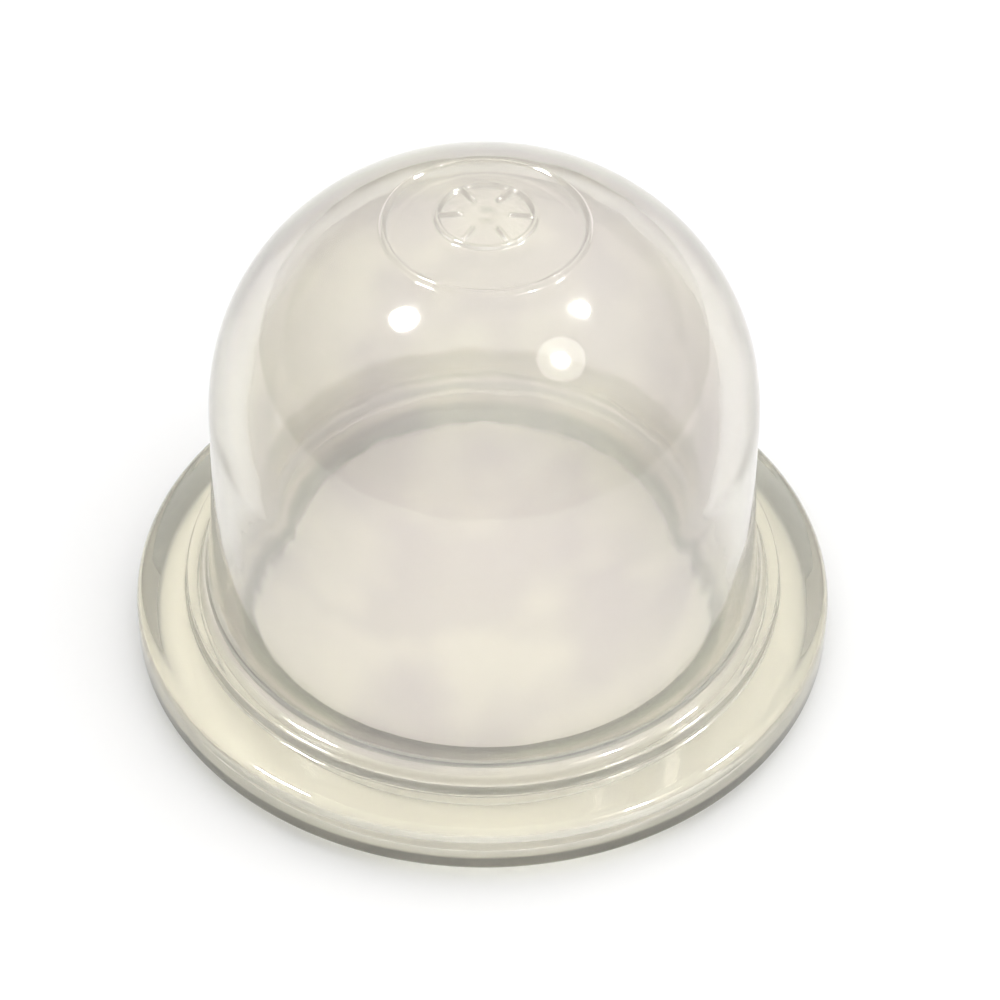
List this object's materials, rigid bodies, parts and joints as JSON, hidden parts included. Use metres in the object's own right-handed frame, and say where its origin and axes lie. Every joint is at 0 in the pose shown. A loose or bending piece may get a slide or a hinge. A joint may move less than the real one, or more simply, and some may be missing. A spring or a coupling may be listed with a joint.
{
  "type": "primer bulb",
  "caption": "Clear plastic thumb bulb: a hollow dome, open below, on a round clamping flange with a seat ring and a plain moulded mark on top.",
  "frame": {"origin": "centre of the flange's seat face, on the bulb's axis", "axes": "+Z along the bulb's axis from the seat face to the apex of the dome"},
  "size_m": [0.0222, 0.0222, 0.017],
  "materials": {
    "clear_plastic": "clear cast polyurethane with a faint warm haze, glossy, lightly rippled"
  },
  "bodies": {
    "root": {"primer_bulb": "clear_plastic"}
  },
  "joints": []
}
